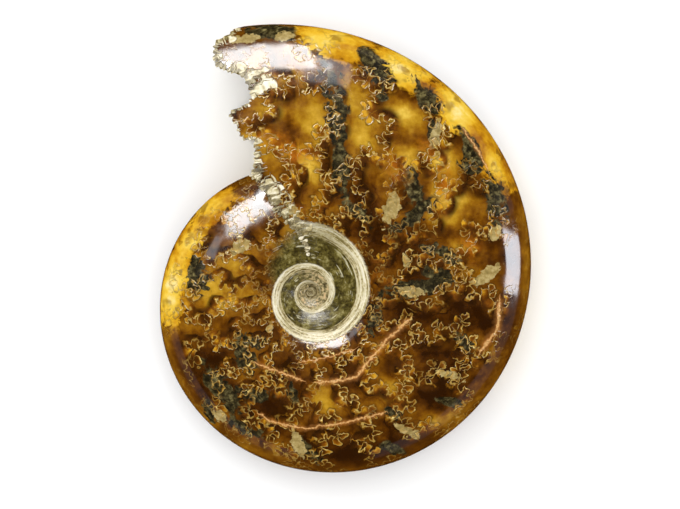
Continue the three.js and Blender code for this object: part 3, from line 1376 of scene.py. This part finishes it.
    def chambers(self) -> tuple[Socket, Socket, Socket]:
        """Wire the chambers and their walls.

        Returns:
            The colour, how much of the place is chamber wall, and how much is mudstone.
        """
        flank = self.flank
        past, plain, lobe = self.frilled_wall()
        near = self.math("ABSOLUTE", past)
        after = self.math("GREATER_THAN", past, 0.0)
        before = self.minus(1.0, after)
        cloud = self.grain(self.plan, *self.CLOUD)
        fine = self.grain(self.plan, *self.FINE)
        wisp = self.grain(self.plan, *self.WISP)
        drift = self.grain(self.plan, *self.DRIFT)
        margin = self.ease(self.across, *flank.margin_from)
        clear = self.times(self.ease(drift, *flank.fading, 0.3, 1.0),
                           self.minus(1.0, self.times(margin, flank.margin_cover)))
        leafy = self.times(self.ease(plain, *flank.leafy_reach), before,
                           self.ease(self.attribute("between"), 0.02, 0.14))
        colour = self.calcite(plain, lobe, cloud, fine, wisp, margin, leafy)

        comb = self.ease(self.math("ABSOLUTE", plain), *flank.comb_reach, 0.6, 0.0)
        lobed = self.plus(self.times(self.minus(lobe, 0.6), comb), self.swing(fine, 0.6),
                          self.swing(wisp, 0.7), self.times(after, 0.15))
        rim_field = self.attribute(Tone.RIM.value)
        rim = self.ease(self.plus(rim_field, self.times(lobed, 0.5)), *flank.rim_edge)
        rim = self.times(rim, self.minus(1.0, self.times(leafy, self.ease(wisp, 0.5, 0.6), 0.6)))
        rim_depth = self.plus(self.swing(cloud, 2.0), self.swing(fine, 0.6),
                              self.times(rim_field, 0.6), self.swing(drift, 1.0), -0.01)
        colour = self.mix(rim, colour, self.ramp(rim_depth, flank.rim))
        grey = self.attribute(Tone.GREY.value)
        mud = self.ease(self.plus(grey, lobed, self.swing(wisp, 0.5)), *flank.mud_edge)
        mud = self.times(mud, self.ease(grey, *flank.mud_bounds))
        mud_grain = self.grain(self.plan, *self.MUD_GRAIN)
        mud_shade = self.plus(self.ease(mud_grain, 0.24, 0.84), self.times(self.minus(0.5, lobe), 0.3))
        colour = self.mix(mud, colour, self.ramp(mud_shade, flank.mud))
        ragged = self.plus(self.swing(wisp, 1.1), self.swing(fine, 1.2))
        sediment = self.ease(self.plus(self.attribute(Tone.TAN.value), ragged), *flank.sediment_edge)
        colour = self.mix(sediment, colour, self.ramp(self.ease(mud_grain, 0.2, 0.8), flank.sediment))

        rusty = self.times(self.attribute(Tone.RUST.value), self.ease(fine, 0.4, 0.6, 0.3, 0.9))
        colour = self.mix(rusty, colour, tint(flank.rust))
        halo = self.times(self.ease(near, *flank.halo_reach, 0.6, 0.0), clear, after)
        colour = self.mix(halo, colour, tint(flank.halo))
        glow = self.times(self.ease(near, *flank.glow_reach, 0.6, 0.0), clear, before,
                          self.ease(fine, 0.35, 0.6, 0.3, 1.0))
        colour = self.mix(glow, colour, tint(flank.lobe_glow))
        line = self.times(self.ease(near, *flank.line_reach, 1.0, 0.0), clear)
        bright = self.ease(fine, 0.5, 0.7)
        line_colour = self.mix(bright, tint(flank.wall_line), tint(flank.wall_line_bright))
        return self.mix(line, colour, line_colour), line, mud

    def calcite(self, plain: Socket, lobe: Socket, cloud: Socket, fine: Socket, wisp: Socket,
                margin: Socket, leafy: Socket) -> Socket:
        """Wire the calcite of the chambers, of the lobes and near the outer edge.

        Args:
            plain: The distance past the walls' plain folds, millimetres.
            lobe: How far inside a lobe of the frill a place lies.
            cloud: A broad noise.
            fine: A fine noise.
            wisp: A noise between the two.
            margin: How near the outer edge a place lies.
            leafy: How strongly the lobes' own colour takes.

        Returns:
            The colour.
        """
        flank = self.flank
        gold = self.attribute(Tone.GOLD.value)
        region = self.minus(self.times(gold, flank.gold_lift),
                            self.times(self.attribute(Tone.DEEP.value), flank.deep_sink))
        far = self.times(self.ease(self.math("ABSOLUTE", plain), 1.4, 3.4, 0.0, 0.2), self.minus(1.0, gold))
        rimward = self.ease(self.across, 0.84, 1.02, 0.0, 0.1)
        depth = self.plus(self.swing(cloud, 1.25), self.swing(fine, 0.4), flank.brightness, region, rimward)
        pool = self.ramp(self.minus(depth, far), flank.depths)
        vein = self.times(self.minus(0.6, lobe), self.ease(plain, -2.6, -0.4, 0.0, 0.34))
        inside = self.plus(self.ease(plain, -2.0, 0.7, 0.66, 0.24), self.swing(fine, 0.8),
                           self.ease(wisp, 0.42, 0.64, 0.4, -0.1), self.times(region, -0.36), vein)
        colour = self.mix(leafy, pool, self.ramp(inside, flank.foliage))
        edge = self.ramp(self.plus(depth, -0.08), flank.margin)
        return self.mix(self.times(margin, 0.85), colour, edge)

    def cracked(self, colour: Socket) -> Socket:
        """Wire the healed cracks over a colour, on the upper flank.

        Args:
            colour: The colour underneath.

        Returns:
            The colour with the cracks on it.
        """
        flank = self.flank
        shake = self.swing(self.grain(self.plan, *self.CRACK_SHAKE), 1.6)
        away = self.math("ABSOLUTE", self.plus(self.unwound("crack", CRACK_REACH), shake))
        upper = self.math("GREATER_THAN", self.z, 0.0)
        grain = self.ease(self.grain(self.plan, *self.CRACK_GRAIN), 0.35, 0.6, 0.55, 1.0)
        widths_away = self.over(away, self.attribute("crack_width"))
        core = self.times(self.ease(widths_away, *flank.crack_core, 0.95, 0.0), upper, grain)
        haze = self.times(self.ease(widths_away, *flank.crack_haze, 0.3, 0.0), upper)
        heart = self.ease(widths_away, *flank.crack_heart, 1.0, 0.0)
        mended = self.mix(heart, tint(flank.healed), tint(flank.healed_core))
        return self.mix(self.math("MAXIMUM", core, haze), colour, mended)

    def streaked(self, stretch: tuple[float, float, float], noise: tuple[float, ...]) -> Socket:
        """Wire a noise that runs in streaks along the whorl.

        Args:
            stretch: Scales along the growth angle, across the whorl and up the coil axis.
            noise: The noise's scale, detail and roughness.

        Returns:
            The noise.
        """
        return self.grain(self.scaled((self.growth, self.across, self.z), stretch), *noise)

    def scaled(self, places: tuple[Socket, ...], scales: tuple[float, ...]) -> Socket:
        """Wire a vector of three places, each by its own scale."""
        return self.vector(*(self.times(place, scale) for place, scale in zip(places, scales)))

    def blend(self, a: Socket, share: float, b: Socket) -> Socket:
        """Add two noises in shares that make up one."""
        return self.plus(self.times(a, share), self.times(b, 1 - share))

    def umbilicus(self) -> tuple[Socket, Socket, Socket]:
        """Wire the umbilicus.

        Returns:
            The colour, where it applies, and the relief in millimetres.
        """
        shell = self.shell
        streaks = self.streaked(*self.WALL_STREAKS)
        specks = self.grain(self.plan, *self.SPECKS)
        # Painted shade: the wall is darkened towards its foot, down in the umbilicus, and made paler at its
        # crest.
        painted_foot_shade = self.ease(self.across, *shell.painted_foot_shade, -0.35, 0.12)
        wall_shade = self.ease(self.blend(streaks, 0.75, specks), 0.36, 0.6)
        wall = self.ramp(self.plus(wall_shade, painted_foot_shade), shell.wall)
        blots = self.streaked(*self.OLIVE_BLOTS)
        flank = self.ramp(self.ease(self.blend(blots, 0.7, specks), 0.28, 0.76), shell.flank)
        scratches = self.ease(self.streaked(*self.SCRATCHES), 0.6, 0.68, 0.0, 0.8)
        flank = self.mix(scratches, flank, tint(shell.scratch))
        middle = self.ramp(self.ease(self.blend(specks, 0.7, streaks), 0.34, 0.66), shell.middle)
        on_wall = self.ease(self.plus(self.across, self.swing(specks, 0.03)), *shell.edge, 1.0, 0.0)
        stray = self.swing(blots, 0.8)
        wandering = self.plus(self.growth, stray)
        inner = self.grown(wandering, shell.olive_from)
        sector = self.grown(self.plus(self.growth, self.times(self.across, 3.0), stray), shell.olive_sector)
        inner = self.math("MAXIMUM", inner, sector)
        deep = self.grown(self.growth, shell.middle_from)
        colour = self.mix(self.times(deep, 0.9), flank, middle)
        worn = self.grown(wandering, shell.worn_from, 1.0, 0.5)
        colour = self.mix(self.times(on_wall, worn, self.minus(1.0, self.times(deep, 0.6))), colour, wall)
        relief = self.plus(self.times(streaks, shell.wrinkles), self.times(specks, shell.pitting))
        relief = self.times(relief, self.math("MAXIMUM", on_wall, 0.35))
        return colour, self.math("MAXIMUM", on_wall, inner), relief

    def broken_end(self) -> tuple[Socket, Socket, Socket]:
        """Wire the broken end and its crust.

        Returns:
            The colour, where it applies, and the relief in millimetres.
        """
        broken = self.broken
        lumps = self.grain(self.plan, *self.LUMPS)
        gap, run, _ = self.split(self.vector_attribute("edge_place"))
        ridges = self.grain(self.scaled((run, gap, self.z), self.RIDGE_STRETCH), *self.RIDGES)
        colour = self.ramp(self.ease(self.blend(ridges, 0.65, lumps), 0.36, 0.66), broken.face)
        is_face = self.math("GREATER_THAN", self.attribute("broken"), 0.5)
        off_crease = self.math("ABSOLUTE", self.minus(ridges, 0.5))
        crease = self.ease(off_crease, *broken.crease_reach, self.ease(is_face, 0.0, 1.0, 0.8, 0.25), 0.0)
        colour = self.mix(crease, colour, tint(broken.crease))
        crust = self.attribute("crust")
        raggedness = self.times(self.minus(ridges, 0.5), self.ease(crust, 0.0, 0.3, 0.0, 3.2))
        fringe = self.ease(self.plus(crust, raggedness), *broken.crust_edge)
        where = self.math("MAXIMUM", is_face, fringe)
        relief = self.plus(self.times(ridges, broken.ridging), self.times(lumps, broken.lumpiness))
        return colour, where, relief


# ---- the fossil ---------------------------------------------------------------------------


@dataclass
class Fossil:
    """The whole ammonite: builds its mesh, lays its colours and gives it its stone.

    Attributes:
        outer_steps: Slices in each half turn of the last whorl.
        inner_steps: Slices in each half turn of the earlier whorls.
        section_points: Points round the whorl's section.
        crease: Angle past which an edge stays sharp, degrees.
        lower_turned: How far round the lower flank's patches are moved, degrees.
        seam: Height over which the two flanks' patches blend, millimetres.
        oldest_patch: Growth angle before which a patch is moved on by a turn, degrees.
        first_wall: Growth angle at which the chamber walls begin to show, degrees.
    """

    # How closely curves are sampled: the walls in chambers, the others in millimetres.
    WALL_SPACING = 0.02
    GAP_SPACING = 0.04
    CRACK_SPACING = 0.1
    WIDTH_SPACING = 0.3
    EDGE_SPACING = 0.2

    # How fast a patch fades from its middle outwards.
    PATCH_FADE = 0.7

    coil: Coil
    broken_end: BrokenEnd
    walls: ChamberWalls
    outer_steps: int = 260
    inner_steps: int = 110
    section_points: int = 156
    crease: float = 38.0
    lower_turned: float = 56.0
    seam: float = 3.0
    oldest_patch: float = -255.0
    first_wall: float = -285.0

    def build(self) -> bpy.types.Object:
        """Build the fossil as one plain mesh.

        Returns:
            The finished object, at the origin.
        """
        stone = StoneMaterial(self.coil, self.walls, Finishes()).material
        block = self.broken_end.block()
        tree = FossilTree(self.coil)
        blank = bpy.data.objects.new("ammonite_blank", bpy.data.meshes.new("ammonite_blank"))
        bpy.context.scene.collection.objects.link(blank)
        grower = blank.modifiers.new("coil", "NODES")
        grower.node_group = tree.tree
        names = tree.identifiers()
        settings = {
            "Aperture": math.radians(self.coil.aperture), "Overrun": math.radians(self.coil.overrun),
            "Lean": math.radians(self.coil.axis_lean), "Flat Depth": self.coil.flat_depth * MM,
            "Core Radius": self.coil.core_radius * MM,
            "Outer Steps": self.outer_steps, "Inner Steps": self.inner_steps,
            "Section Points": self.section_points, "Broken Away": block, "Stone": stone,
        }
        for name, value in settings.items():
            grower[names[name]] = value
        graph = bpy.context.evaluated_depsgraph_get()
        evaluated = blank.evaluated_get(graph)
        mesh = bpy.data.meshes.new_from_object(evaluated, preserve_all_data_layers=True, depsgraph=graph)
        mesh.name = "ammonite_fossil"
        blank.modifiers.remove(grower)
        for spare in (blank, block):
            bpy.data.objects.remove(spare)
        mesh.set_sharp_from_angle(angle=math.radians(self.crease))
        self.lay_colours(mesh)
        fossil = bpy.data.objects.new("ammonite_fossil", mesh)
        bpy.context.scene.collection.objects.link(fossil)
        return fossil

    def lay_colours(self, mesh: bpy.types.Mesh) -> None:
        """Keep at each vertex all that its colour goes by.

        Args:
            mesh: The fossil's mesh, with its `plan` and `growth` attributes.
        """
        count = len(mesh.vertices)
        plan = np.empty(count * 3, dtype=np.float32)
        mesh.attributes["plan"].data.foreach_get("vector", plan)
        x, y, z = plan.reshape(-1, 3).T.astype(float)
        corner_vertex = np.empty(len(mesh.loops), dtype=np.int32)
        mesh.loops.foreach_get("vertex_index", corner_vertex)
        corner = {}
        for name in ("growth", "around"):
            corner[name] = np.empty(len(mesh.loops), dtype=np.float32)
            mesh.attributes[name].data.foreach_get("value", corner[name])
        order = np.argsort(corner["growth"], kind="stable")
        growth, around = np.zeros(count), np.zeros(count)
        growth[corner_vertex[order]] = corner["growth"][order]
        around[corner_vertex[order]] = corner["around"][order]
        radius = np.hypot(x, y)
        lower = np.clip(0.5 - z / self.seam, 0, 1)
        for tone in Tone:
            upper_field = self.field(tone, growth, radius, 0.0)
            lower_field = self.field(tone, growth, radius, math.radians(self.lower_turned))
            self.keep(mesh, tone.value, upper_field * (1 - lower) + lower_field * lower)
        self.lay_walls(mesh, self.coil.chart(growth, around), growth > math.radians(self.first_wall))
        self.lay_cracks(mesh, x, y)
        self.lay_crust(mesh, x, y, growth)

    def lay_walls(self, mesh: bpy.types.Mesh, chart: np.ndarray, has_walls: np.ndarray) -> None:
        """Keep each vertex's distance from the chamber walls and its place along them.

        Args:
            mesh: The fossil's mesh.
            chart: Each vertex's place on the surface laid out flat, in chambers.
            has_walls: Whether each vertex lies where the walls show.
        """
        reach = self.walls.reach
        lines = self.walls.lines()
        near = Nearness(lines, self.WALL_SPACING, self.coil.chamber_length)
        distance, run = np.full(len(chart), reach), np.zeros(len(chart))
        distance[has_walls], run[has_walls] = near.measure(chart[has_walls])
        self.keep_vectors(mesh, "wall", near.wound(np.clip(distance, -reach, reach), reach))
        self.keep_vectors(mesh, "wall_run", near.wound(run, self.walls.run / 2))
        gaps = [np.abs(Nearness(lines[i::2], self.GAP_SPACING).measure(chart[has_walls])[0]) for i in (0, 1)]
        between = np.full(len(chart), reach)
        between[has_walls] = np.minimum(np.abs(gaps[0] - gaps[1]), reach)
        self.keep(mesh, "between", between)

    def lay_crust(self, mesh: bpy.types.Mesh, x: np.ndarray, y: np.ndarray, growth: np.ndarray) -> None:
        """Keep how strongly the pale crust takes along the broken edge, and the place along it.

        Args:
            mesh: The fossil's mesh.
            x: How far +X each vertex lies from the coil axis, millimetres.
            y: The same for +Y.
            growth: Growth angle of each vertex, radians.
        """
        edge = Nearness([self.broken_end.line()], self.EDGE_SPACING)
        gap, run = edge.measure(np.column_stack([x, y]))
        heights, widths = zip(*self.broken_end.crust)
        width = np.interp(y, heights, widths) * np.where(growth > 0, 1.0, self.broken_end.crust_across)
        self.keep(mesh, "crust", np.clip(1 - np.abs(gap) / width, 0, 1))
        self.keep_vectors(mesh, "edge_place", np.column_stack([gap, run, np.zeros_like(gap)]))

    def lay_cracks(self, mesh: bpy.types.Mesh, x: np.ndarray, y: np.ndarray) -> None:
        """Keep each vertex's distance from the healed cracks, and the nearest one's width.

        Args:
            mesh: The fossil's mesh.
            x: How far +X each vertex lies from the coil axis, millimetres.
            y: The same for +Y.
        """
        near = Nearness([crack.line() for crack in CRACKS], self.CRACK_SPACING)
        places = np.column_stack([x, y])
        distance, _ = near.measure(places)
        distance = np.clip(distance, -CRACK_REACH, CRACK_REACH)
        self.keep_vectors(mesh, "crack", near.wound(distance, CRACK_REACH))
        gaps = []
        for crack in CRACKS:
            log.info("healed crack %s", crack.name)
            gaps.append(np.abs(Nearness([crack.line()], self.WIDTH_SPACING).measure(places)[0]))
        widths = np.array([crack.half_width for crack in CRACKS])
        self.keep(mesh, "crack_width", widths[np.argmin(np.array(gaps), axis=0)])

    def field(self, tone: Tone, growth: np.ndarray, radius: np.ndarray, turned: float) -> np.ndarray:
        """Add up one colour's patches.

        Args:
            tone: The colour.
            growth: Growth angle of each vertex, radians.
            radius: Distance of each vertex from the coil axis, millimetres.
            turned: How far round the patches are moved, radians.

        Returns:
            The strength at each vertex.
        """
        total = np.zeros_like(radius)
        for patch in (p for p in PATCHES if p.tone is tone):
            angle = math.radians(patch.growth) - turned
            if angle < math.radians(self.oldest_patch):
                angle += TURN
            centre = self.coil.shoulder.at(angle) + patch.across * self.coil.height(angle)
            along = (growth - angle) * centre
            out = radius - self.coil.shoulder.at(growth) - patch.across * self.coil.height(growth)
            lie = math.radians(patch.turn)
            length = (along * math.cos(lie) - out * math.sin(lie)) / patch.long
            width = (along * math.sin(lie) + out * math.cos(lie)) / patch.wide
            fade = np.exp(-self.PATCH_FADE * (length ** 2 + width ** 2))
            total = np.maximum(total, patch.strength * fade)
        return total

    @staticmethod
    def keep_vectors(mesh: bpy.types.Mesh, name: str, rows: np.ndarray) -> None:
        """Keep a vector for each vertex under a name."""
        kept = mesh.attributes.new(name, "FLOAT_VECTOR", "POINT")
        kept.data.foreach_set("vector", rows.astype(np.float32).ravel())

    @staticmethod
    def keep(mesh: bpy.types.Mesh, name: str, values: np.ndarray) -> None:
        """Keep a number for each vertex under a name."""
        kept = mesh.attributes.new(name, "FLOAT", "POINT")
        kept.data.foreach_set("value", values.astype(np.float32))


# ---- the studio ---------------------------------------------------------------------------


@dataclass(frozen=True)
class Softbox:
    """A large soft light, aimed at the fossil.

    Attributes:
        name: What it is called.
        bearing: Direction it stands in, degrees from +X towards +Y.
        from_zenith: How far down from straight overhead it stands, degrees.
        distance: How far away it stands, metres.
        size: Its width and height, metres.
        power: Its power, watts.
        mirrored: True for a box that only shows as a reflection, False for one that only lights.
        colour: Its colour, as hex.
    """

    name: str
    bearing: float
    from_zenith: float
    distance: float
    size: Span
    power: float
    mirrored: bool
    colour: str = "ffffff"

    def place(self, target: Vector) -> bpy.types.Object:
        """Hang the light and aim it.

        Args:
            target: What it points at.

        Returns:
            The light object.
        """
        lamp = bpy.data.lights.new(self.name, "AREA")
        lamp.shape = "RECTANGLE"
        lamp.size, lamp.size_y = self.size
        lamp.energy = self.power
        lamp.color = tint(self.colour)[:3]
        box = bpy.data.objects.new(self.name, lamp)
        bearing, down = math.radians(self.bearing), math.radians(self.from_zenith)
        arm = Vector((math.cos(bearing) * math.sin(down), math.sin(bearing) * math.sin(down), math.cos(down)))
        box.location = target + arm * self.distance
        box.rotation_euler = arm.to_track_quat("Z", "Y").to_euler()
        box.visible_diffuse = not self.mirrored
        box.visible_glossy = self.mirrored
        bpy.context.scene.collection.objects.link(box)
        return box


@dataclass
class Studio:
    """Pale floor, soft lights and the camera overhead.

    Attributes:
        middle: The middle of the fossil.
        floor_side: The floor's side, metres.
        floor_colour: The floor's colour, as hex.
        floor_rough: The floor's roughness.
        floor_gloss: The floor's specular level.
        ambient: Strength of the room's even light.
        lens: Focal length, millimetres.
        sensor: Width of the camera's sensor, millimetres.
        frame_width: Width that the picture takes in at the fossil's middle, metres.
        off_centre: How far the camera hangs from over the fossil's middle, metres.
        boxes: The lights.
    """

    middle: Vector
    floor_side: float = 3.0
    floor_colour: str = "fefefe"
    floor_rough: float = 0.9
    floor_gloss: float = 0.1
    ambient: float = 0.89
    lens: float = 120.0
    sensor: float = 36.0
    frame_width: float = 152.1 * MM
    off_centre: Span = (-1.2 * MM, -1.1 * MM)
    boxes: tuple[Softbox, ...] = (
        Softbox("glare_aperture", 98, 52, 1.5, (0.67, 0.72), 24.2, True),
        Softbox("glare_inner", 122, 39, 1.5, (0.6, 0.61), 19.5, True),
        Softbox("glare_tail", 78, 44, 1.5, (0.23, 0.53), 1.2, True, "e2e8ee"),
        Softbox("glare_inner_tail", 155, 37, 1.5, (0.26, 0.27), 0.7, True, "e2e8ee"),
        Softbox("glare_right", -4, 71, 1.5, (0.42, 0.64), 11.0, True, "ecf0f8"),
        *(Softbox(f"rim_sheen_{bearing}", bearing, 78, 0.7, (0.9, 0.22), 0.2, True, "dcdcf0")
          for bearing in range(45, 360, 90)),
        Softbox("fill_overhead", 90, 0, 1.1, (1.6, 1.6), 5.7, False),
        Softbox("fill_upper_left", 115, 45, 0.9, (0.7, 0.5), 1.8, False),
    )

    def build(self) -> None:
        """Set up the whole studio."""
        self.floor()
        self.surroundings()
        for box in self.boxes:
            box.place(self.middle)
            log.info("light %s", box.name)
        self.camera()

    def floor(self) -> None:
        """Lay the floor."""
        half = self.floor_side / 2
        mesh = bpy.data.meshes.new("floor")
        corners = [(-half, -half, 0), (half, -half, 0), (half, half, 0), (-half, half, 0)]
        mesh.from_pydata(corners, [], [(0, 1, 2, 3)])
        material = bpy.data.materials.new("floor_paper")
        material.use_nodes = True
        paper = material.node_tree.nodes["Principled BSDF"]
        paper.inputs["Base Color"].default_value = tint(self.floor_colour)
        paper.inputs["Roughness"].default_value = self.floor_rough
        paper.inputs["Specular IOR Level"].default_value = self.floor_gloss
        mesh.materials.append(material)
        floor = bpy.data.objects.new("floor", mesh)
        floor.visible_glossy = False
        bpy.context.scene.collection.objects.link(floor)
        floor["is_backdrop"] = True

    def surroundings(self) -> None:
        """Set the even light of the room, which the polish does not mirror, and plain colours."""
        scene = bpy.context.scene
        scene.world = bpy.data.worlds.new("room")
        scene.world.use_nodes = True
        scene.world.cycles_visibility.glossy = False
        sky = scene.world.node_tree.nodes["Background"]
        sky.inputs["Color"].default_value = (1.0, 1.0, 1.0, 1.0)
        sky.inputs["Strength"].default_value = self.ambient
        scene.view_settings.view_transform = "Standard"
        scene.view_settings.look = "None"

    def camera(self) -> None:
        """Hang the camera straight over the fossil."""
        lens = bpy.data.cameras.new("camera")
        lens.lens = self.lens
        lens.sensor_width = self.sensor
        camera = bpy.data.objects.new("camera", lens)
        height = self.lens / self.sensor * self.frame_width
        camera.location = self.middle + Vector((*self.off_centre, height))
        bpy.context.scene.collection.objects.link(camera)
        bpy.context.scene.camera = camera


def main() -> None:
    """Build the fossil on its frame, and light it."""
    logging.basicConfig(level=logging.INFO, format="%(name)s: %(message)s")
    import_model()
    cad_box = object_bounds()
    coil = Coil()
    fossil = Fossil(coil, BrokenEnd(coil), ChamberWalls()).build()
    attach(fossil, "root")
    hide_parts("ammonite")
    log.info("%s: %d vertices, %d faces", fossil.name, len(fossil.data.vertices), len(fossil.data.polygons))
    low, high = (Vector(corner) for corner in cad_box)
    Studio((low + high) / 2).build()


if __name__ == "__main__":
    main()
